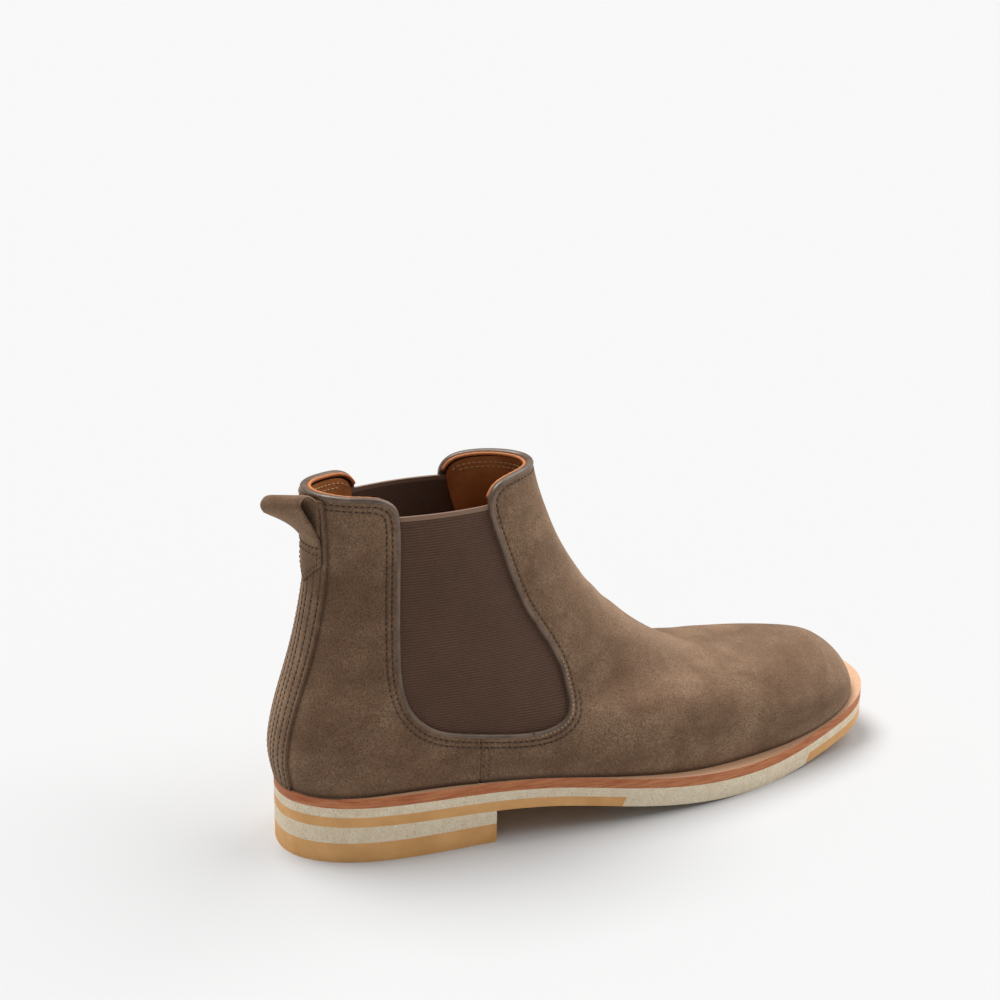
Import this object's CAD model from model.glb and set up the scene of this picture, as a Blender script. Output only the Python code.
import math

import bmesh
import bpy
import numpy as np
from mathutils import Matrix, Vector


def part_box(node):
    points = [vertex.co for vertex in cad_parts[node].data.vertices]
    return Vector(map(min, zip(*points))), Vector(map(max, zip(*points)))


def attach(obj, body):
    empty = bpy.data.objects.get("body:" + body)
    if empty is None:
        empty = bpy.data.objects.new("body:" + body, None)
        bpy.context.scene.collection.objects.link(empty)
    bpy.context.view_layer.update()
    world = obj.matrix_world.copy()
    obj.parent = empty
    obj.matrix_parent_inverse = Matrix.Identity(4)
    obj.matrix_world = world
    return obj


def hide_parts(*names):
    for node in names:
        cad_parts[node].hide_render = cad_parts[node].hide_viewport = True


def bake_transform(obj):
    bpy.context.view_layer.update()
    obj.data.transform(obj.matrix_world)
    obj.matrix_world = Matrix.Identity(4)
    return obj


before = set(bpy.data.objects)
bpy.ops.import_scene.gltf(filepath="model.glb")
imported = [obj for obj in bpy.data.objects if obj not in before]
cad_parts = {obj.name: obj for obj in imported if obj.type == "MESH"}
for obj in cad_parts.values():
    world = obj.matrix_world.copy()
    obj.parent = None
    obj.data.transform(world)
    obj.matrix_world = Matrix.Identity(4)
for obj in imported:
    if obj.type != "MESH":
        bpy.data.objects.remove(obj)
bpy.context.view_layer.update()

# The boot's construction axes: millimetres, X from the back of the heel to the toe,
# Y from lateral (-) to medial (+), Z up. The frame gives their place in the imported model.
MM = 0.001
HEEL_BREAST = 83.5
SHANK_CENTRE_Y = -2.0
ORIGIN_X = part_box("heel_top_piece")[1][0] - HEEL_BREAST * MM
ORIGIN_Y = (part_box("shank")[0][1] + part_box("shank")[1][1]) / 2 - SHANK_CENTRE_Y * MM

# Bottom: layer thicknesses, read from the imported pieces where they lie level
RUBBER = 4.5
CREPE = 4.2
WELT = 4.6
BOTTOM = RUBBER + CREPE + WELT
SOLE_LINE = [
    (-6, 16.4), (35, 16.1), (75, 15.1), (110, 12.4), (145, 6.8), (180, 1.9),
    (215, 0), (255, 2.6), (283, 8.6), (306, 14.6),
]

# The last: front line, back line and half-breadths of its rings
FRONT_LINE = [
    (0, 292.5, 10), (1, 295, 21), (2, 294, 30), (3, 289.5, 38), (4, 279, 45), (5, 262, 48.6),
    (6, 240, 49.6), (7, 219, 51.6), (8, 200, 56.8), (9, 183, 66), (10, 168, 77.2),
    (12, 143, 101.5), (14, 126, 130), (16, 116.5, 158), (17, 113.5, 170),
]
BACK_LINE = [
    (0, 4.5, 14), (2, 0, 33), (4, -1.2, 46), (6, 1.8, 61), (8, 6, 75), (10, 10, 89),
    (12, 13.6, 106), (14, 16.2, 129.5), (16, 14, 156.5), (17, 12.4, 169),
]
BREADTHS = {
    0: (9, (26, 35, 45, 41, 28), (26, 30.5, 31, 47, 37)),
    2: (9, (27.5, 37, 47.5, 43.5, 29.5), (27.5, 34, 36, 49.5, 38.5)),
    4: (8.5, (27, 36.5, 45, 36, 19), (27, 34.5, 38.5, 39, 25.5)),
    6: (7, (25.5, 34.5, 40, 30.5, 14), (25.5, 33, 36.5, 31, 15.5)),
    9: (4.5, (21.5, 31, 34.5, 29, 16), (21.5, 31, 34, 29, 16)),
    12: (2, (17, 26, 29.5, 25.5, 14.5), (17, 26, 29.5, 25.5, 14.5)),
    17: (1, (14, 22, 25, 22, 13.5), (14, 22, 25, 22, 13.5)),
}
PANEL_EDGE = [
    (-30, 156.8), (10, 156.6), (28, 155.8), (38, 154.8), (43.6, 151.2), (45.6, 144), (45.4, 120),
    (44.2, 95), (43.9, 78), (47.5, 65), (57, 55.8), (72, 51.6), (92, 48.8), (106, 48.9),
    (116.2, 54.2), (118.2, 66), (112.8, 81.5), (101.3, 101), (92, 125), (86.5, 141.5),
    (86.2, 149.2), (90, 154.2), (97, 156.6), (108, 157.6), (122, 157.6), (150, 157),
]
GORE_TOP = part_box("gore_lateral")[1][2] / MM
SUEDE = 1.8
GORE_THICKNESS = 1.0
SIDE_SEAM = 75.8
BACKSTAY_HALF_WIDTH = 11.0
BACKSTAY_THICKNESS = 1.2
BINDING_WIDTH = 2.4
# Depths of the lining's two faces below the outside of the upper
BACKED = 2.8
LINING_DEPTH = 4.0
# Stitch rows ahead of (+) or behind (-) the side seam, and beside the middle of the backstay
SEAM_ROWS = (-2.0, 1.9, 4.0)
BACKSTAY_ROWS = (1.5, 5.4, 8.8)


# ---------------------------------------------------------------- curves and the last

def curve(knots, values, at):
    """Natural cubic spline through values at knots, evaluated at an array of places."""
    knots = np.asarray(knots, float)
    values = np.asarray(values, float)
    at = np.asarray(at, float)
    gap = np.diff(knots)
    size = len(knots)
    matrix = np.eye(size)
    right = np.zeros_like(values)
    for i in range(1, size - 1):
        matrix[i, i - 1:i + 2] = gap[i - 1], 2 * (gap[i - 1] + gap[i]), gap[i]
        rise = (values[i + 1] - values[i]) / gap[i] - (values[i] - values[i - 1]) / gap[i - 1]
        right[i] = 6 * rise
    bend = np.linalg.solve(matrix, right)
    span = np.clip(np.searchsorted(knots, at) - 1, 0, size - 2)
    step = (at - knots[span])[..., None]
    width = gap[span][..., None]
    low, high = bend[span], bend[span + 1]
    slope = (values[span + 1] - values[span]) / width - width * (2 * low + high) / 6
    return values[span] + step * slope + step ** 2 * low / 2 + step ** 3 * (high - low) / (6 * width)


def smooth_path(points, count, closed=False):
    """Evenly spaced points on a natural or closed spline through the given points."""
    points = np.asarray(points, float)
    if closed:
        lap = len(points)
        points = np.concatenate([points[-4:], points, points[:5]])
    chord = np.concatenate([[0], np.cumsum(np.sqrt(np.linalg.norm(np.diff(points, axis=0), axis=1)))])
    first = chord[4] if closed else chord[0]
    last = chord[4 + lap] if closed else chord[-1]
    dense = curve(chord, points, np.linspace(first, last, count * 8 + 1))
    length = np.concatenate([[0], np.cumsum(np.linalg.norm(np.diff(dense, axis=0), axis=1))])
    places = np.linspace(0, length[-1], count + 1)
    if closed:
        places = places[:-1]
    return np.stack([np.interp(places, length, dense[:, k]) for k in range(points.shape[1])], axis=1)


def breadth_waves():
    """Rows of centre offset and sine-wave sizes of each side, from BREADTHS."""
    stations = np.radians([30, 60, 90, 120, 150])
    waves = np.array([[np.sin(k * a) for k in range(1, 6)] for a in stations])
    shift = ((1 - np.cos(stations)) / 2) ** 2
    rows = []
    for centre, lateral, medial in BREADTHS.values():
        left = np.linalg.solve(waves, np.array(lateral) + centre * shift)
        right = np.linalg.solve(waves, np.array(medial) - centre * shift)
        rows.append([centre, *left, *right])
    return np.array(rows)


WAVES = breadth_waves()


def front_at(ring):
    return curve([row[0] for row in FRONT_LINE], [row[1:] for row in FRONT_LINE], ring)


def back_at(ring):
    return curve([row[0] for row in BACK_LINE], [row[1:] for row in BACK_LINE], ring)


def last_points(ring, angle):
    """Points of the last's outer face; angle 0 is the back, a half turn is the front."""
    ring, angle = np.broadcast_arrays(np.asarray(ring, float), np.asarray(angle, float) % (2 * np.pi))
    front, back, row = front_at(ring), back_at(ring), curve(list(BREADTHS), WAVES, ring)
    along = (1 - np.cos(angle)) / 2
    side = back + (front - back) * along[..., None]
    lateral = angle <= np.pi
    turn = np.where(lateral, angle, 2 * np.pi - angle)
    waves = np.where(lateral[..., None], row[..., 1:6], row[..., 6:11])
    breadth = sum(waves[..., k] * np.sin((k + 1) * turn) for k in range(5))
    y = row[..., 0] * along ** 2 + np.where(lateral, -breadth, breadth)
    return np.stack([side[..., 0], y, side[..., 1]], axis=-1)


def last_normals(ring, angle):
    """Outward unit normals of the last."""
    small = 0.004
    up = last_points(ring + small, angle) - last_points(ring - small, angle)
    round_ring = last_points(ring, angle + small) - last_points(ring, angle - small)
    out = -np.cross(up, round_ring)
    return out / np.linalg.norm(out, axis=-1, keepdims=True)


def find_on_last(side, medial=False):
    """Ring and angle of side-view points (x, z) on the lateral or the medial face."""
    side = np.asarray(side, float)
    rings = np.linspace(0.0, 17.0, 1701)
    front, back = front_at(rings), back_at(rings)
    chord = front - back
    off = side[:, None, :] - back[None, :, :]
    height = chord[None, :, 0] * off[..., 1] - chord[None, :, 1] * off[..., 0]
    index = np.clip(np.argmax(height < 0, axis=1), 1, len(rings) - 1)
    rows = np.arange(len(side))
    low, high = height[rows, index - 1], height[rows, index]
    part = np.clip(low / (low - high), 0, 1)
    ring = rings[index - 1] + part * (rings[1] - rings[0])
    back, front = back_at(ring), front_at(ring)
    chord = front - back
    along = ((side - back) * chord).sum(1) / (chord ** 2).sum(1)
    angle = np.arccos(np.clip(1 - 2 * along, -1, 1))
    return ring, (2 * np.pi - angle if medial else angle)


def metres(points):
    """Construction millimetres to the frame's metres."""
    return np.asarray(points, float) * MM + np.array([ORIGIN_X, ORIGIN_Y, 0.0])


# ---------------------------------------------------------------- meshes

def add_mesh(name, points, faces, material, body="boot", smooth=True, fields=None):
    """Object from construction-millimetre points; fields are per-point values for the shader."""
    mesh = bpy.data.meshes.new(name)
    mesh.from_pydata([tuple(p) for p in metres(points)], [], [tuple(f) for f in faces])
    mesh.update()
    if smooth:
        mesh.shade_smooth()
    for field, values in (fields or {}).items():
        layer = mesh.attributes.new(field, "FLOAT", "POINT")
        layer.data.foreach_set("value", np.asarray(values, np.float32))
    piece = bpy.data.objects.new(name, mesh)
    bpy.context.scene.collection.objects.link(piece)
    mesh.materials.append(material)
    if body:
        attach(piece, body)
    return piece


def grid_faces(rows, columns, closed):
    """Quads of a grid of points numbered row by row."""
    wide = columns if closed else columns - 1
    row, column = np.meshgrid(np.arange(rows - 1), np.arange(wide), indexing="ij")
    after = (column + 1) % columns
    a = row * columns + column
    b = row * columns + after
    return np.stack([a, b, b + columns, a + columns], axis=-1).reshape(-1, 4)


def signed_distance(side, path):
    """Distance of side-view points to a path, positive on its right-hand side."""
    start, step = path[:-1], np.diff(path, axis=0)
    best = np.full(len(side), 1e9)
    sign = np.ones(len(side))
    for first in range(0, len(side), 20000):
        part = side[first:first + 20000]
        off = part[:, None, :] - start[None]
        along = np.clip((off * step[None]).sum(-1) / (step ** 2).sum(-1)[None], 0, 1)
        gap = off - along[..., None] * step[None]
        distance = np.linalg.norm(gap, axis=-1)
        nearest = distance.argmin(axis=1)
        rows = np.arange(len(part))
        best[first:first + 20000] = distance[rows, nearest]
        cross = step[nearest, 0] * gap[rows, nearest, 1] - step[nearest, 1] * gap[rows, nearest, 0]
        sign[first:first + 20000] = np.where(cross > 0, -1, 1)
    return best * sign


# ---------------------------------------------------------------- materials

class Shader:
    """Small helper for node materials: each call adds one node and returns its main output."""

    def __init__(self, name):
        self.material = bpy.data.materials.new(name)
        self.material.use_nodes = True
        self.tree = self.material.node_tree
        self.principled = self.tree.nodes["Principled BSDF"]
        self.place = self.tree.nodes.new("ShaderNodeTexCoord").outputs["Object"]

    def put(self, socket, value):
        """Links another node's output to the socket, or sets its value."""
        if isinstance(value, bpy.types.NodeSocket):
            self.tree.links.new(value, socket)
        else:
            socket.default_value = value

    def node(self, kind, output=0, settings=None, **inputs):
        """Inputs are given by name, or as i0, i1 ... by number."""
        made = self.tree.nodes.new(kind)
        for key, value in (settings or {}).items():
            setattr(made, key, value)
        for key, value in inputs.items():
            numbered = key[0] == "i" and key[1:].isdigit()
            self.put(made.inputs[int(key[1:]) if numbered else key], value)
        return made.outputs[output]

    def noise(self, scale, detail=3.0, roughness=0.55, stretch=(1, 1, 1), distortion=0.0):
        place = self.node("ShaderNodeMapping", i0=self.place, Scale=stretch)
        return self.node("ShaderNodeTexNoise", Vector=place, Scale=scale, Detail=detail,
                         Roughness=roughness, Distortion=distortion)

    def cells(self, scale):
        return self.node("ShaderNodeTexVoronoi", Vector=self.place, Scale=scale)

    def ramp(self, value, low, high, start=0.0, end=1.0):
        """Value between low and high mapped to start..end, clamped."""
        return self.node("ShaderNodeMapRange", i0=value, i1=low, i2=high, i3=start, i4=end)

    def mix(self, factor, first, second):
        return self.node("ShaderNodeMix", 2, {"data_type": "RGBA"}, i0=factor, i6=first, i7=second)

    def add(self, first, second, weight=1.0):
        """First plus weight times second."""
        settings = {"operation": "MULTIPLY_ADD"}
        return self.node("ShaderNodeMath", settings=settings, i0=second, i1=weight, i2=first)

    def times(self, first, second):
        return self.node("ShaderNodeMath", settings={"operation": "MULTIPLY"}, i0=first, i1=second)

    def field(self, name):
        """A per-point value stored on the mesh."""
        made = self.tree.nodes.new("ShaderNodeAttribute")
        made.attribute_name = name
        return made.outputs["Fac"]

    def finish(self, colour, roughness, height=None, bump=0.0005, strength=1.0, **sockets):
        for key, value in {"Base Color": colour, "Roughness": roughness, **sockets}.items():
            self.put(self.principled.inputs[key], value)
        if height is not None:
            normal = self.node("ShaderNodeBump", Height=height, Distance=bump, Strength=strength)
            self.tree.links.new(normal, self.principled.inputs["Normal"])
        return self.material


def srgb(red, green, blue):
    """Linear colour from the 0-255 values a colour picker shows."""
    values = [c / 255 for c in (red, green, blue)]
    linear = [c / 12.92 if c <= 0.04045 else ((c + 0.055) / 1.055) ** 2.4 for c in values]
    return (*linear, 1.0)


def suede_material():
    s = Shader("taupe_suede")
    base = srgb(116, 89, 69)
    light = srgb(152, 124, 100)
    dark = srgb(80, 58, 42)
    brushed = s.noise(28, 4, 0.6, stretch=(1, 1, 1.6), distortion=0.6)
    patches = s.noise(95, 4, 0.65)
    grain = s.noise(1500, 2, 0.7)
    fibres = s.noise(2600, 2, 0.8)
    colour = s.mix(s.ramp(brushed, 0.38, 0.66), base, light)
    colour = s.mix(s.ramp(patches, 0.58, 0.36, 0.0, 0.35), colour, dark)
    colour = s.mix(s.ramp(grain, 0.58, 0.38, 0.0, 0.8), colour, dark)
    colour = s.mix(s.ramp(fibres, 0.52, 0.68, 0.0, 0.6), colour, light)
    colour = s.mix(s.field("seam"), colour, srgb(58, 43, 34))
    height = s.add(s.times(grain, 0.6), fibres, 0.5)
    return s.finish(colour, 0.93, height, 0.00045, 0.55, **{
        "Sheen Weight": 0.85, "Sheen Roughness": 0.42, "Sheen Tint": srgb(196, 168, 142),
        "Specular IOR Level": 0.12})


def binding_material():
    s = Shader("brown_binding")
    creases = s.noise(900, 4, 0.6)
    tone = s.noise(120, 3)
    colour = s.mix(s.ramp(tone, 0.35, 0.7), srgb(84, 66, 52), srgb(116, 94, 76))
    return s.finish(colour, s.ramp(creases, 0.3, 0.7, 0.30, 0.50), creases, 0.0003, 0.25, **{
        "Coat Weight": 0.15, "Coat Roughness": 0.25})


def elastic_material():
    s = Shader("ribbed_elastic")
    yarn = s.noise(1900, 2, 0.6, stretch=(1, 1, 3))
    tone = s.noise(60, 2)
    colour = s.mix(s.ramp(yarn, 0.35, 0.7), srgb(80, 55, 41), srgb(112, 82, 63))
    colour = s.mix(s.ramp(tone, 0.35, 0.7, 0.0, 0.3), colour, srgb(78, 55, 41))
    colour = s.mix(s.field("rib"), colour, srgb(50, 34, 25))
    colour = s.mix(s.field("selvedge"), colour, srgb(146, 116, 96))
    return s.finish(colour, 0.8, yarn, 0.0003, 0.5, **{"Sheen Weight": 0.15, "Specular IOR Level": 0.25})


def lining_material():
    s = Shader("tan_lining")
    cloud = s.noise(45, 4, 0.6)
    pores = s.cells(1300)
    colour = s.mix(s.ramp(cloud, 0.35, 0.68), srgb(150, 88, 44), srgb(186, 118, 64))
    return s.finish(colour, s.ramp(cloud, 0.3, 0.7, 0.36, 0.55), pores, 0.0002, 0.3)


def raw_edge_material():
    s = Shader("raw_leather_edge")
    fibre = s.noise(2200, 3, 0.7)
    colour = s.mix(s.ramp(fibre, 0.35, 0.7), srgb(176, 96, 46), srgb(222, 150, 92))
    return s.finish(colour, 0.85, fibre, 0.0004, 0.7)


def welt_material():
    s = Shader("veg_tan_leather")
    layers = s.noise(260, 4, 0.65, stretch=(0.25, 0.25, 3.2))
    fibre = s.noise(2600, 3, 0.7)
    up = s.node("ShaderNodeSeparateXYZ", output="Z", i0=s.node("ShaderNodeNewGeometry", output="Normal"))
    edge = s.mix(s.ramp(layers, 0.36, 0.66), srgb(176, 90, 46), srgb(214, 142, 90))
    top = s.mix(s.ramp(fibre, 0.3, 0.7), srgb(214, 168, 130), srgb(230, 190, 154))
    colour = s.mix(s.ramp(up, 0.55, 0.9), edge, top)
    colour = s.mix(s.ramp(fibre, 0.62, 0.42, 0.0, 0.3), colour, srgb(142, 76, 44))
    height = s.add(layers, fibre, 0.4)
    return s.finish(colour, 0.62, height, 0.0005, 0.5)


def crepe_material():
    s = Shader("cream_crepe")
    lumps = s.noise(620, 3, 0.6)
    fine = s.noise(1900, 3, 0.7)
    tone = s.noise(240, 3, 0.6)
    colour = s.mix(s.ramp(tone, 0.35, 0.7), srgb(238, 220, 190), srgb(248, 235, 210))
    colour = s.mix(s.ramp(fine, 0.50, 0.36, 0.0, 0.6), colour, srgb(186, 158, 120))
    height = s.add(lumps, fine, 0.8)
    return s.finish(colour, 0.88, height, 0.0007, 0.5)


def honey_material():
    s = Shader("honey_rubber")
    cloud = s.noise(70, 3, 0.6)
    fine = s.noise(1500, 3, 0.6)
    colour = s.mix(s.ramp(cloud, 0.35, 0.68), srgb(218, 162, 98), srgb(234, 180, 116))
    return s.finish(colour, 0.55, fine, 0.0002, 0.3, **{"Specular IOR Level": 0.35})


def plain_material(name, low, high, roughness, scale=900, metallic=0.0):
    s = Shader(name)
    grain = s.noise(scale, 3, 0.65)
    colour = s.mix(s.ramp(grain, 0.35, 0.68), low, high)
    return s.finish(colour, roughness, grain, 0.0003, 0.5, Metallic=metallic)


def thread_material(name, low, high):
    s = Shader(name)
    twist = s.noise(2600, 2, 0.5)
    return s.finish(s.mix(s.ramp(twist, 0.35, 0.7), low, high), 0.7, twist, 0.0002, 0.6)


SUEDE_LOOK = suede_material()
BINDING_LOOK = binding_material()
ELASTIC_LOOK = elastic_material()
LINING_LOOK = lining_material()
RAW_EDGE_LOOK = raw_edge_material()
WELT_LOOK = welt_material()
CREPE_LOOK = crepe_material()
HONEY_LOOK = honey_material()
CORK_LOOK = plain_material("cork", srgb(120, 84, 52), srgb(184, 140, 96), 0.9, 500)
BOARD_LOOK = plain_material("fibre_board", srgb(150, 132, 106), srgb(182, 164, 138), 0.9, 1600)
STEEL_LOOK = plain_material("spring_steel", srgb(130, 130, 134), srgb(170, 170, 174), 0.35, 700, 1.0)
DARK_THREAD = thread_material("dark_thread", srgb(40, 30, 24), srgb(66, 50, 40))
BROWN_THREAD = thread_material("brown_thread", srgb(62, 46, 36), srgb(92, 70, 54))
PALE_THREAD = thread_material("pale_thread", srgb(186, 150, 104), srgb(220, 190, 146))

CAD_LOOKS = {
    "heel_top_piece": HONEY_LOOK, "outsole_waist": HONEY_LOOK, "outsole_toe": HONEY_LOOK,
    "heel_lift": CREPE_LOOK, "outsole_forepart": CREPE_LOOK, "crepe_midsole": CREPE_LOOK,
    "welt": WELT_LOOK, "cork_filler": CORK_LOOK, "shank": STEEL_LOOK,
    "insole_board": BOARD_LOOK, "heel_counter": BOARD_LOOK, "toe_puff": BOARD_LOOK,
    "sock_liner": LINING_LOOK, "vamp_lining": LINING_LOOK, "quarter_lining": LINING_LOOK,
}
SOLE_EDGE_ROUND = {"welt": 0.7, "crepe_midsole": 0.35, "outsole_waist": 0.35, "outsole_forepart": 0.5,
                   "outsole_toe": 0.5, "heel_lift": 0.35, "heel_top_piece": 0.7}


def finish_cad_nodes():
    """Materials on the carried-over CAD pieces, and softly rounded arrises on the sole layers."""
    for name, look in CAD_LOOKS.items():
        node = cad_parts[name]
        node.data.materials.clear()
        node.data.materials.append(look)
    for name, radius in SOLE_EDGE_ROUND.items():
        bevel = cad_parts[name].modifiers.new("rounded_arris", "BEVEL")
        bevel.width = radius * MM
        bevel.segments = 3
        bevel.limit_method = "ANGLE"
        bevel.angle_limit = math.radians(40)


# ---------------------------------------------------------------- panels of the upper

RING_ROWS = 300
RING_COLUMNS = 780
FIRST_RING = 0.05
LAST_RING = 16.7
PANEL_PATH = smooth_path(PANEL_EDGE, 700)


def snap_to_edge(ring, angle, distance):
    """Moves the grid points next to the zero line of distance onto it."""
    best = np.full(ring.shape, 0.5)
    new_ring, new_angle, new_distance = ring.copy(), angle.copy(), distance.copy()
    for rows, columns in ((1, 0), (-1, 0), (0, 1), (0, -1)):
        beside = np.roll(distance, (-rows, -columns), (0, 1))
        ring_beside = np.roll(ring, (-rows, -columns), (0, 1))
        angle_beside = np.roll(angle, (-rows, -columns), (0, 1))
        turn = (angle_beside - angle + np.pi) % (2 * np.pi) - np.pi
        valid = distance * beside < 0
        if rows == 1:
            valid[-1] = False
        if rows == -1:
            valid[0] = False
        part = np.where(valid, distance / np.where(valid, distance - beside, 1), 9)
        use = part <= best
        best = np.where(use, part, best)
        new_ring = np.where(use, ring + part * (ring_beside - ring), new_ring)
        new_angle = np.where(use, angle + part * turn, new_angle)
        new_distance = np.where(use, 0.0, new_distance)
    return new_ring, new_angle, new_distance


def rolled_edge(distance, radius, drop):
    """Depth of a turned edge: drop at the edge itself, none beyond the radius."""
    part = np.clip(1 - distance / radius, 0, 1)
    return drop * (1 - np.sqrt(1 - part ** 2))


def groove(distance, at, width=0.45):
    """1 along the line at the given distance, falling to 0 beside it."""
    return np.exp(-((distance - at) / width) ** 2)


def undulation(points):
    """Slow hand-lasted unevenness of the leather, in millimetres."""
    x, y, z = points[..., 0], points[..., 1], points[..., 2]
    wave = 0.30 * np.sin(x / 23 + 1.3 * np.sin(z / 31) + y / 40) * np.sin(z / 27 + y / 33 + 0.7)
    wave += 0.16 * np.sin(x / 11 - z / 13 + 2.0 * np.sin(y / 19)) * np.sin(z / 9 + x / 29)
    return wave


def vamp_creases(points):
    """Shallow wear folds across the front of the ankle and the ball."""
    x, y, z = points[..., 0], points[..., 1], points[..., 2]
    line = z - 0.55 * (x - 150) - 88
    ankle = np.exp(-(line / 16) ** 2) * np.exp(-((z - 92) / 26) ** 2)
    folds = np.sin(line / 2.9 + 0.8 * np.sin(y / 9))
    ball = np.exp(-((x - 205 - 0.25 * y) / 20) ** 2) * np.clip((z - 30) / 20, 0, 1)
    return 0.22 * ankle * folds + 0.16 * ball * np.sin((x - 0.3 * y) / 3.4 + 0.7 * np.sin(y / 12))


def panel_mesh(name, field, material, replaces, base_depth=0.0):
    """One leather panel: grid over the last, cut where field() is negative.

    field(points) gives the distance inside the panel, the depth of its surface
    below the last's face and the darkening of its seams."""
    rings = np.linspace(FIRST_RING, LAST_RING, RING_ROWS)
    angles = np.arange(RING_COLUMNS) * 2 * np.pi / RING_COLUMNS
    ring, angle = np.meshgrid(rings, angles, indexing="ij")
    points = last_points(ring, angle)
    distance, _, _ = field(points)
    ring, angle, distance = snap_to_edge(ring, angle, distance)
    faces = grid_faces(RING_ROWS, RING_COLUMNS, closed=True)
    inside = distance.reshape(-1)[faces] >= 0
    quads = faces[inside.all(axis=1)]
    triangles = []
    for face, keep in zip(faces[inside.sum(axis=1) == 3], inside[inside.sum(axis=1) == 3]):
        triangles.append(face[keep])
    used = np.unique(np.concatenate([quads.reshape(-1), np.array(triangles, int).reshape(-1)]))
    renumber = np.full(ring.size, -1)
    renumber[used] = np.arange(len(used))
    ring, angle = ring.reshape(-1)[used], angle.reshape(-1)[used]
    points = last_points(ring, angle)
    _, depth, seam = field(points)
    on_edge = distance.reshape(-1)[used] == 0
    depth = np.where(on_edge, np.maximum(depth, base_depth), depth)
    points = points - last_normals(ring, angle) * depth[:, None]
    all_faces = [tuple(renumber[f]) for f in quads] + [tuple(renumber[f]) for f in triangles]
    piece = add_mesh(name, points, all_faces, material, fields={"seam": seam})
    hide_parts(*replaces)
    return piece


def free_edge_distance(points):
    """Distance inside the topline and the opening for the gore; far from both it is large."""
    side = points[:, [0, 2]] if points.ndim == 2 else points[..., [0, 2]].reshape(-1, 2)
    distance = np.full(len(side), 60.0)
    near = (side[:, 1] > 40) & (side[:, 0] < 135)
    distance[near] = signed_distance(side[near], PANEL_PATH)
    return distance.reshape(points.shape[:-1])


# Distances in millimetres: stitch rows from a free edge, radius of its turned fold, the height
# below which the gore's front edge has two rows, and how far the panels go below the welt's top
STITCH_LINES = (3.4, 5.7)
FOLD_RADIUS = 1.1
FOOT_OF_GORE = 62.0
TUCKED = 0.4


def border(distance, second=1.0):
    """Depth and darkening of the turned edge; second weighs the outer row of stitches."""
    rows = groove(distance, STITCH_LINES[0]) + second * groove(distance, STITCH_LINES[1])
    depth = rolled_edge(distance, FOLD_RADIUS, SUEDE) + 0.28 * rows
    return depth, np.clip(0.34 * rows + 0.5 * groove(distance, 0, 0.5), 0, 1)


def above_welt(points):
    """Height above the top of the welt."""
    along = np.clip(points[..., 0], SOLE_LINE[0][0], SOLE_LINE[-1][0])
    sole = curve([x for x, _ in SOLE_LINE], [[z] for _, z in SOLE_LINE], along)[..., 0]
    return points[..., 2] - sole - BOTTOM


def feather_shadow(points):
    """Dark line where the upper meets the welt."""
    return 0.8 * np.exp(-((above_welt(points) - 0.6) / 1.3) ** 2)


def vamp_field(points):
    edge = free_edge_distance(points)
    seam = points[..., 0] - SIDE_SEAM
    distance = np.minimum(np.minimum(edge, seam), above_welt(points) + TUCKED)
    depth, dark = border(edge, np.clip((FOOT_OF_GORE - points[..., 2]) / 2, 0, 1))
    rows = groove(seam, SEAM_ROWS[1]) + groove(seam, SEAM_ROWS[2])
    ahead = np.clip((points[..., 0] - 75) / 40, 0, 1)
    depth = depth + 0.15 * rows + rolled_edge(seam, 0.8, 0.5)
    depth = depth - ahead * (undulation(points) + vamp_creases(points)) * np.clip(edge / 12, 0, 1)
    dark = dark + 0.2 * rows + 0.5 * groove(seam, 0, 0.6) + feather_shadow(points)
    return distance, depth, np.clip(dark, 0, 1)


def quarter_field(side_sign):
    def field(points):
        edge = free_edge_distance(points)
        seam = SIDE_SEAM + 0.6 - points[..., 0]
        half = points[..., 1] * side_sign
        distance = np.minimum(np.minimum(edge, seam), half + 0.3)
        distance = np.minimum(distance, above_welt(points) + TUCKED)
        depth, dark = border(edge)
        rows = groove(seam, -SEAM_ROWS[0])
        depth = depth + 0.15 * rows + rolled_edge(seam, 0.9, 1.0) - 0.35 * np.clip(1 - seam / 6, 0, 1)
        depth = depth - 0.8 * undulation(points) * np.clip(edge / 12, 0, 1)
        beside = half - BACKSTAY_HALF_WIDTH
        dark = dark + 0.2 * rows + 0.45 * groove(beside, 0, 0.9) + 0.4 * groove(seam, 0, 0.6)
        return distance, depth, np.clip(dark + feather_shadow(points), 0, 1)
    return field


def backstay_field(points):
    edge = free_edge_distance(points)
    half = BACKSTAY_HALF_WIDTH - np.abs(points[..., 1])
    distance = np.minimum(np.minimum(half, edge - BINDING_WIDTH + 0.6), 60 - points[..., 0])
    distance = np.minimum(distance, above_welt(points) + TUCKED)
    rows = sum(groove(np.abs(points[..., 1]), at) for at in BACKSTAY_ROWS)
    depth = -BACKSTAY_THICKNESS + rolled_edge(half, 1.0, BACKSTAY_THICKNESS + 0.1) + 0.3 * rows
    dark = 0.34 * rows + 0.5 * groove(half, 0, 0.5) + feather_shadow(points)
    return distance, depth, np.clip(dark, 0, 1)


def make_upper():
    panel_mesh("vamp_suede", vamp_field, SUEDE_LOOK, ["vamp"])
    panel_mesh("quarter_lateral_suede", quarter_field(-1), SUEDE_LOOK, ["quarter_lateral"])
    panel_mesh("quarter_medial_suede", quarter_field(1), SUEDE_LOOK, ["quarter_medial"])
    panel_mesh("backstay_suede", backstay_field, SUEDE_LOOK, ["backstay"])


# ---------------------------------------------------------------- elastic gores

RIB_PITCH = 1.15
RIB_ROWS_EACH = 4
GORE_COLUMNS = 70
SELVEDGE = 1.9
GORE_BOTTOM = 43.0
GORE_UNDERLAP = 4.6
LOWEST_SIDE = 54.5
STRAIGHT_TOP = 151.0


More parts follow.
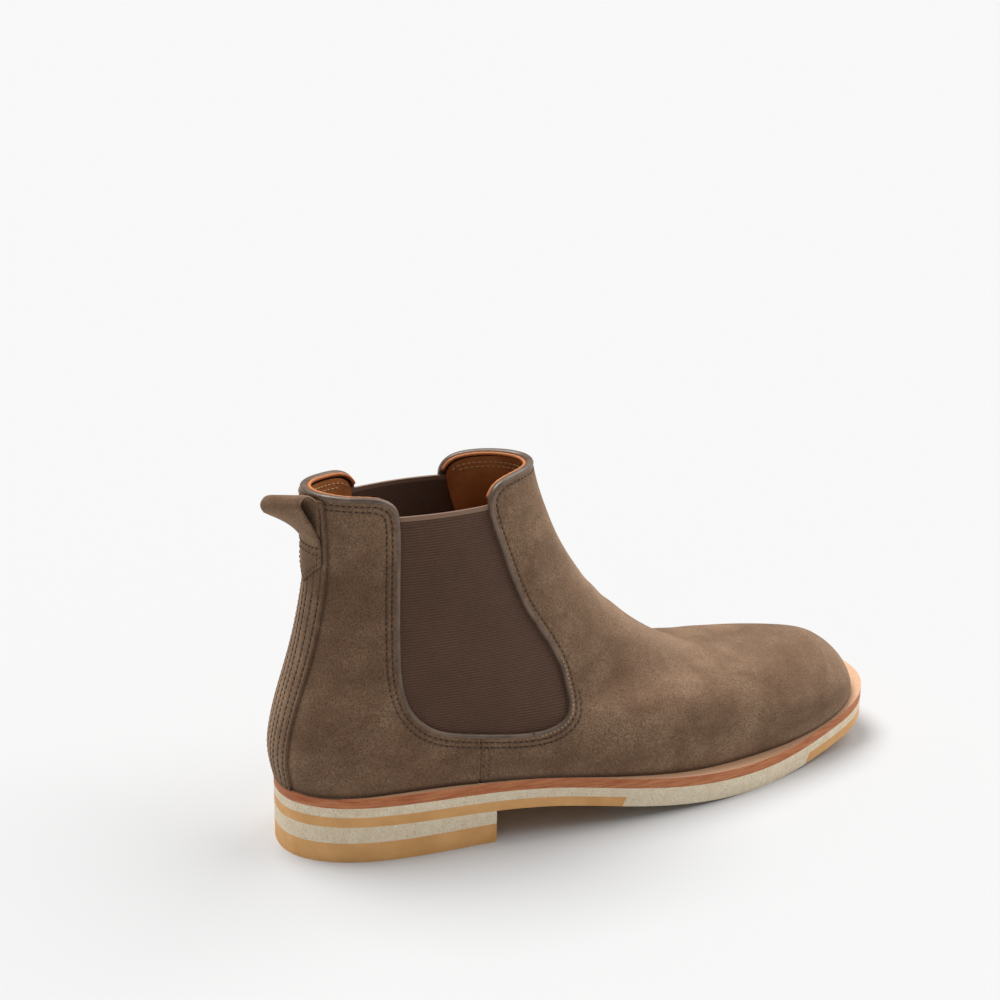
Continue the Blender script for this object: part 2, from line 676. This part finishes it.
def gore_sides(heights):
    """Rear and front x of the opening at each height."""
    path = PANEL_PATH[(PANEL_PATH[:, 0] > 40) & (PANEL_PATH[:, 0] < 119)]
    low = path[:, 1].argmin()
    clamped = np.clip(heights, LOWEST_SIDE, None)
    rear, front = path[:low], path[low:]
    rear = rear[rear[:, 1] < STRAIGHT_TOP]
    front = front[:np.argmax(front[:, 1] > STRAIGHT_TOP)]
    return (np.interp(clamped, rear[::-1, 1], rear[::-1, 0]), np.interp(clamped, front[:, 1], front[:, 0]))


def make_gore(name, node, medial):
    rows = int((GORE_TOP - GORE_BOTTOM) / RIB_PITCH * RIB_ROWS_EACH)
    heights = np.linspace(GORE_BOTTOM, GORE_TOP, rows)
    rear, front = gore_sides(heights)
    across = np.linspace(0, 1, GORE_COLUMNS)
    x = (rear[:, None] - GORE_UNDERLAP) + across[None] * (front - rear + 2 * GORE_UNDERLAP)[:, None]
    z = np.repeat(heights[:, None], GORE_COLUMNS, 1)
    ring, angle = find_on_last(np.stack([x, z], -1).reshape(-1, 2), medial)
    rib = np.cos(2 * np.pi * z / RIB_PITCH).reshape(-1)
    plain = np.clip(1 - (GORE_TOP - z.reshape(-1)) / SELVEDGE, 0, 1) > 0
    rib = np.where(plain, 0.9, rib)
    points, normals = last_points(ring, angle), last_normals(ring, angle)
    outer = points - normals * (SUEDE - 0.10 - 0.13 * rib)[:, None]
    inner = points - normals * (SUEDE + GORE_THICKNESS + 0.05 * rib)[:, None]
    count = len(points)
    faces = grid_faces(rows, GORE_COLUMNS, closed=False)
    if not medial:
        faces = faces[:, ::-1]
    last = count - GORE_COLUMNS
    rim = list(range(GORE_COLUMNS)) + list(range(2 * GORE_COLUMNS - 1, count, GORE_COLUMNS))
    rim += list(range(count - 2, last - 1, -1)) + list(range(last - GORE_COLUMNS, 0, -GORE_COLUMNS))
    walls = [(a, b, b + count, a + count) for a, b in zip(rim, rim[1:] + rim[:1])]
    everything = [tuple(f) for f in faces] + [tuple(f[::-1] + count) for f in faces] + walls
    valley = np.where(plain, 0, 0.55 * np.clip(-rib, 0, 1))
    shade = np.concatenate([valley, valley])
    edge = np.concatenate([plain * 0.8, plain * 0.5])
    piece = add_mesh(name, np.concatenate([outer, inner]), everything, ELASTIC_LOOK,
                     fields={"rib": shade, "selvedge": edge})
    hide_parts(node)


# ---------------------------------------------------------------- edge paths, bindings and stitches

# Angle from the middle of the front or back where the side-view path stops and is bridged
TOPLINE_TURN = 0.35


def path_on_last(distance, front):
    """Ring and angle along a line beside the free edge, from the lateral foot of the gore
    over the topline to the medial foot; front picks the vamp's side of the gore."""
    step = np.gradient(PANEL_PATH, axis=0)
    step /= np.linalg.norm(step, axis=1, keepdims=True)
    beside = PANEL_PATH + distance * np.stack([step[:, 1], -step[:, 0]], axis=1)
    low = np.argmin(np.where((PANEL_PATH[:, 0] > 60) & (PANEL_PATH[:, 0] < 110), PANEL_PATH[:, 1], 999))
    part = beside[low:] if front else beside[:low][::-1]
    ring, angle = find_on_last(part)
    limit = np.pi - TOPLINE_TURN if front else TOPLINE_TURN
    keep = np.argmax(angle > limit) if front else np.argmax(angle < limit)
    ring, angle = ring[:keep], angle[:keep]
    mirror = 2 * np.pi - angle[::-1] if front else -angle[::-1]
    knots = np.stack([np.concatenate([ring, ring[::-1]]), np.concatenate([angle, mirror])], axis=1)
    return smooth_path(knots[::6], 900)


def resample(path, spacing, depth=0.0):
    """Even steps along a (ring, angle) path: points, normals and tangents on the last."""
    points = last_points(path[:, 0], path[:, 1])
    length = np.concatenate([[0], np.cumsum(np.linalg.norm(np.diff(points, axis=0), axis=1))])
    places = np.linspace(0, length[-1], max(int(length[-1] / spacing), 2) + 1)
    ring = np.interp(places, length, path[:, 0])
    angle = np.interp(places, length, path[:, 1])
    normals = last_normals(ring, angle)
    points = last_points(ring, angle) - normals * depth
    tangents = np.gradient(points, axis=0)
    tangents /= np.linalg.norm(tangents, axis=1, keepdims=True)
    return points, normals, tangents


def sweep(points, normals, across, profile):
    """Closed tube: profile(i) gives (across, outward) offsets at each of the points."""
    rings = []
    for i, point in enumerate(points):
        shape = np.asarray(profile(i))
        rings.append(point + shape[:, :1] * across[i] + shape[:, 1:] * normals[i])
    count = len(rings[0])
    faces = [tuple(f) for f in grid_faces(len(rings), count, closed=True)]
    base = (len(rings) - 1) * count
    caps = [tuple(range(count))[::-1], tuple(range(base, base + count))]
    return np.concatenate(rings), faces + caps


def make_binding(name, node, front):
    path = path_on_last(BINDING_WIDTH * 0.38, front)
    points, normals, tangents = resample(path, 0.9)
    across = np.cross(normals, tangents)
    turn = np.linspace(0, 2 * np.pi, 21)[:-1]

    def profile(i):
        full = np.clip((points[i, 2] - GORE_TOP + 1) / 3, 0, 1)
        outward = 1.05 + 0.55 * full
        centre = -(0.75 + 0.4 * full)
        squared = np.sign(np.cos(turn)) * np.abs(np.cos(turn)) ** 0.8
        return np.stack([(0.95 + 0.3 * full) * squared, centre + outward * np.sin(turn)], axis=1)

    vertices, faces = sweep(points, normals, across, profile)
    piece = add_mesh(name, vertices, faces, BINDING_LOOK)
    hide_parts(node)


def make_raw_edge(name, front):
    """Cut edge of the tan lining, showing inside the topline binding."""
    points, normals, tangents = resample(path_on_last(0.9, front), 1.1, (BACKED + LINING_DEPTH) / 2)
    level = points[:, 2] > GORE_TOP + 1.5
    points, normals, tangents = points[level], normals[level], tangents[level]
    across = np.cross(normals, tangents)
    turn = np.linspace(0, 2 * np.pi, 13)[:-1]
    thick = (LINING_DEPTH - BACKED) / 2 + 0.15
    oval = np.stack([0.75 * np.cos(turn), thick * np.sin(turn)], axis=1)
    vertices, faces = sweep(points, normals, across, lambda i: oval * (1 + 0.07 * math.sin(i * 1.7)))
    add_mesh(name, vertices, faces, RAW_EDGE_LOOK)


def stitch_shape(length, radius):
    """Points and faces of one sunk stitch lying along x, with z outward."""
    stations = (-0.5, -0.42, -0.2, 0.2, 0.42, 0.5)
    girth = (0.15, 0.75, 1.0, 1.0, 0.75, 0.15)
    rise = (-0.9, -0.35, 0.1, 0.1, -0.35, -0.9)
    turn = np.linspace(0, 2 * np.pi, 7)[:-1]
    points = []
    for station, size, height in zip(stations, girth, rise):
        for a in turn:
            lift = (height + size * np.sin(a)) * radius
            points.append((station * length, size * radius * np.cos(a), lift))
    return np.array(points), grid_faces(len(stations), len(turn), closed=True)


def stitches(rows, length, radius):
    """Points and faces of stitches along rows of (points, normals, tangents)."""
    shape, shape_faces = stitch_shape(length, radius)
    vertices, faces = [], []
    for points, normals, tangents in rows:
        for point, normal, tangent in zip(points, normals, tangents):
            sideways = np.cross(normal, tangent)
            place = shape @ np.stack([tangent, sideways, normal])
            faces.append(shape_faces + len(vertices) * len(shape))
            vertices.append(place + point)
    return np.concatenate(vertices), np.concatenate(faces)


def add_stitches(name, rows, thread=DARK_THREAD, length=1.75, radius=0.27):
    vertices, faces = stitches(rows, length, radius)
    add_mesh(name, vertices, faces, thread)


STITCH_PITCH = 2.55
SUNK = 0.18
CORNER_TOP = 76.0
CORNER_REAR = 103.0


def side_path(points, medial=False, count=200):
    """(ring, angle) path through side-view points on one face of the boot."""
    ring, angle = find_on_last(smooth_path(points, count), medial)
    return np.stack([ring, angle], axis=1)


def part_of(row, keep):
    """The stitches of a row whose places satisfy keep(points)."""
    chosen = keep(row[0])
    return tuple(values[chosen] for values in row)


def inward(row):
    """The same row seen from the lining's side."""
    points, normals, tangents = row
    return points, -normals, tangents


def border_stitches():
    """Rows beside the free edges: two on the quarters, one on the vamp and two at its foot."""
    first, second = STITCH_LINES
    rear = [resample(path_on_last(at, front=False), STITCH_PITCH, SUNK) for at in STITCH_LINES]
    add_stitches("stitching_border_rear", rear)
    upper_row = resample(path_on_last(first, front=True), STITCH_PITCH, SUNK)
    foot_row = resample(path_on_last(second, front=True), STITCH_PITCH, SUNK)
    foot_row = part_of(foot_row, lambda p: p[:, 2] < FOOT_OF_GORE - 1)
    add_stitches("stitching_border_front", [upper_row, foot_row])
    corner = resample(path_on_last(1.9, front=True), 1.9, 0.25)
    corner = part_of(corner, lambda p: (p[:, 2] < CORNER_TOP) & (p[:, 0] > CORNER_REAR))
    add_stitches("stitching_corner", [corner], PALE_THREAD, 1.3, 0.3)


def lining_stitches():
    """Pale double row that holds the lining, on its inner face below the topline."""
    for name, front in (("rear", False), ("front", True)):
        rows = [resample(path_on_last(at, front), STITCH_PITCH, LINING_DEPTH + 0.05) for at in (4.6, 6.6)]
        rows = [inward(part_of(row, lambda p: p[:, 2] > GORE_TOP + 2)) for row in rows]
        add_stitches(f"stitching_lining_{name}", rows, PALE_THREAD)


def side_seam_stitches():
    for name, medial in (("lateral", False), ("medial", True)):
        rows = []
        for offset in SEAM_ROWS:
            x = SIDE_SEAM + offset
            path = side_path([(x, 43.5), (x, 38), (x, 31.5)], medial)
            rows.append(resample(path, 2.1, 0.12))
        add_stitches(f"stitching_side_seam_{name}", rows, BROWN_THREAD, 1.3, 0.24)


def backstay_stitches():
    rows = []
    for half in BACKSTAY_ROWS:
        for sign in (-1, 1):
            heights = np.linspace(2.2, 12.6, 60)
            angle = np.array([solve_angle(h, sign * half) for h in heights])
            rows.append(resample(np.stack([heights, angle], 1), STITCH_PITCH, 0.16 - BACKSTAY_THICKNESS))
    add_stitches("stitching_backstay", rows)


def solve_angle(ring, y):
    """Angle near the back where the ring reaches the given sideways distance."""
    angles = np.linspace(0, 0.9, 90)
    if y > 0:
        angles = -angles
    reach = last_points(np.full(90, ring), angles)[:, 1]
    order = np.argsort(reach)
    return float(np.interp(y, reach[order], angles[order]))


# ---------------------------------------------------------------- pull loop

# The strip's thickness and half width, its hinge, the tab's pointed end, and how far the fold
# leans back and down across the strip
LOOP_STRIP = 1.5
LOOP_HALF_WIDTH = 10.5
TAB_TIP = 117.3
TAB_SHOULDER = 126.5
TAB_STAND_OFF = BACKSTAY_THICKNESS + 0.7
LOOP_SKEW = (0.42, 0.23)


def back_x(height):
    heights = np.linspace(1, 16.5, 400)
    line = back_at(heights)
    return np.interp(height, line[:, 1], line[:, 0])


def hug(y):
    """How far the back of the boot curves forward at a sideways distance."""
    return 0.023 * y ** 2


def strip_faces(line, width, lift):
    """Points of both faces of the folded strip; lift is 0 where it lies on the boot, 1 at the fold."""
    tangent = np.gradient(line, axis=0)
    tangent /= np.linalg.norm(tangent, axis=1, keepdims=True)
    normal = np.stack([tangent[:, 1], -tangent[:, 0]], axis=1)
    across = np.linspace(-1, 1, 41)
    rounding = np.sqrt(np.clip(1 - np.abs(across) ** 14, 0, 1))
    y = across[None, :] * width[:, None]
    curl = hug(y) * np.clip(1 - lift, 0, 1)[:, None]
    sides = []
    for sign in (-1, 1):
        offset = sign * LOOP_STRIP / 2 * rounding[None, :]
        x = line[:, :1] + normal[:, :1] * offset + curl - LOOP_SKEW[0] * y * lift[:, None]
        z = line[:, 1:] + normal[:, 1:] * offset - LOOP_SKEW[1] * y * lift[:, None]
        sides.append(np.stack([x, y, z], -1).reshape(-1, 3))
    return sides, len(across)


def closed_strip(sides, columns):
    """Faces of a strip from its two grids of points, walled all round."""
    count = len(sides[0])
    faces = grid_faces(count // columns, columns, closed=False)
    everything = [tuple(f) for f in faces] + [tuple(f[::-1] + count) for f in faces]
    rim = list(range(columns)) + list(range(2 * columns - 1, count, columns))
    rim += list(range(count - 2, count - columns - 1, -1)) + list(range(count - 2 * columns, 0, -columns))
    return everything + [(a, b, b + count, a + count) for a, b in zip(rim, rim[1:] + rim[:1])]


def make_pull_loop():
    """One folded strip: pointed stitched end, up and out to the fold, and back down behind itself."""
    route = [(back_x(z) - TAB_STAND_OFF, z) for z in (TAB_TIP, 121.0, TAB_SHOULDER, 131.0, 135.0)]
    route += [(11.6, 140.0), (8.0, 144.6), (4.6, 148.8), (3.9, 151.8), (6.2, 154.2), (9.3, 153.0),
              (12.1, 148.8), (13.5, 143.8), (13.9, 139.4)]
    line = smooth_path(route, 160)
    along = np.linspace(0, 1, len(line))
    fold = along[np.argmin(line[:, 0])]
    lift = np.clip((line[:, 1] - 135) / 13, 0, 1) ** 1.2
    lift = np.where(along > fold, np.clip((line[:, 1] - 141) / 10, 0, 1), lift)
    narrow = np.clip((line[:, 1] - TAB_TIP) / (TAB_SHOULDER - TAB_TIP), 0.03, 1)
    width = LOOP_HALF_WIDTH * np.where(along < fold, narrow, 1.0)
    sides, columns = strip_faces(line, width, lift)
    points = np.concatenate(sides)
    piece = add_mesh("pull_loop_strip", points, closed_strip(sides, columns), SUEDE_LOOK,
                     body=None, fields={"seam": np.zeros(len(points))})
    bm = bmesh.new()
    bm.from_mesh(piece.data)
    bmesh.ops.recalc_face_normals(bm, faces=bm.faces)
    bm.to_mesh(piece.data)
    bm.free()
    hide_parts("pull_loop", "pull_loop_tab")
    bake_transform(piece)


def tab_row(corners, pitch=2.2):
    """Stitches on the tab's outer face along (y, z) corners."""
    path = np.concatenate([np.linspace(a, b, 40) for a, b in zip(corners[:-1], corners[1:])])
    points = np.stack([back_x(path[:, 1]) - TAB_STAND_OFF - LOOP_STRIP / 2 + hug(path[:, 0]),
                       path[:, 0], path[:, 1]], axis=1)
    length = np.concatenate([[0], np.cumsum(np.linalg.norm(np.diff(points, axis=0), axis=1))])
    places = np.linspace(0, length[-1], int(length[-1] / pitch) + 1)
    points = np.stack([np.interp(places, length, points[:, k]) for k in range(3)], axis=1)
    normals = np.stack([-np.ones(len(points)), 0.046 * points[:, 1], np.zeros(len(points))], axis=1)
    normals /= np.linalg.norm(normals, axis=1, keepdims=True)
    tangents = np.gradient(points, axis=0)
    tangents /= np.linalg.norm(tangents, axis=1, keepdims=True)
    return points, normals, tangents


def tab_stitches():
    """Two rows across the foot of the loop and one round the pointed end."""
    side = LOOP_HALF_WIDTH - 1.6
    rows = [tab_row([(-side, z), (side, z)]) for z in (133.6, 130.8)]
    rows.append(tab_row([(-side, 129.0), (-side, TAB_SHOULDER), (0, TAB_TIP + 2.2),
                         (side, TAB_SHOULDER), (side, 129.0)]))
    add_stitches("stitching_tab", rows, BROWN_THREAD, 1.5, 0.26)


# ---------------------------------------------------------------- floor, light and camera

# Name of each sun: where it shines from, how wide it looks in degrees, and its strength
LIGHTS = {
    "key": ((-0.20, 0.35, 1.0), 34.0, 3.0),
    "front_fill": ((1.0, -0.05, 1.0), 60.0, 1.9),
}
FILL = 0.30
FLOOR_TONE = 0.585


def make_stage():
    """Pale seamless floor under a broad high light from behind, with a softer one ahead of the toe."""
    bpy.ops.mesh.primitive_plane_add(size=60, location=(0, 0, 0))
    floor = bpy.context.object
    floor.name = "floor"
    s = Shader("pale_floor")
    floor.data.materials.append(s.finish((FLOOR_TONE, FLOOR_TONE, FLOOR_TONE, 1), 0.9,
                                         **{"Specular IOR Level": 0.0}))
    world = bpy.data.worlds.new("studio")
    bpy.context.scene.world = world
    world.use_nodes = True
    world.node_tree.nodes["Background"].inputs[0].default_value = (1.0, 1.0, 1.0, 1)
    world.node_tree.nodes["Background"].inputs[1].default_value = FILL
    bpy.context.scene.view_settings.view_transform = "Standard"
    for name, (source, softness, strength) in LIGHTS.items():
        light = bpy.data.lights.new(name, "SUN")
        light.energy = strength
        light.angle = math.radians(softness)
        lamp = bpy.data.objects.new(name, light)
        lamp.rotation_euler = Vector(source).to_track_quat("Z", "Y").to_euler()
        bpy.context.scene.collection.objects.link(lamp)


CAMERA_AZIMUTH = -28.31
CAMERA_ELEVATION = 18.4
CAMERA_ROLL = 0.99
CAMERA_DISTANCE = 771.5
CAMERA_AIM = (105.1, 3.07, 138.02)
CAMERA_LENS = 64.885


def make_camera():
    azimuth, elevation, roll = (math.radians(v) for v in (CAMERA_AZIMUTH, CAMERA_ELEVATION, CAMERA_ROLL))
    back = np.array([math.sin(azimuth) * math.cos(elevation), -math.cos(azimuth) * math.cos(elevation),
                     math.sin(elevation)])
    right = np.array([math.cos(azimuth), math.sin(azimuth), 0.0])
    up = np.cross(back, right)
    rolled_right = math.cos(roll) * right + math.sin(roll) * up
    rolled_up = -math.sin(roll) * right + math.cos(roll) * up
    data = bpy.data.cameras.new("camera")
    data.lens = CAMERA_LENS
    data.sensor_width = 36.0
    camera = bpy.data.objects.new("camera", data)
    place = metres(np.array(CAMERA_AIM) + back * CAMERA_DISTANCE)
    matrix = np.eye(4)
    matrix[:3, 0], matrix[:3, 1], matrix[:3, 2], matrix[:3, 3] = rolled_right, rolled_up, back, place
    camera.matrix_world = [list(row) for row in matrix.T]
    bpy.context.scene.collection.objects.link(camera)
    bpy.context.scene.camera = camera


make_camera()
make_stage()
finish_cad_nodes()
make_upper()
make_gore("gore_lateral_webbing", "gore_lateral", medial=False)
make_gore("gore_medial_webbing", "gore_medial", medial=True)
make_binding("topline_binding_rear_strip", "topline_binding_rear", front=False)
make_binding("topline_binding_front_strip", "topline_binding_front", front=True)
make_raw_edge("lining_raw_edge_rear", front=False)
make_raw_edge("lining_raw_edge_front", front=True)
border_stitches()
lining_stitches()
side_seam_stitches()
backstay_stitches()
make_pull_loop()
tab_stitches()
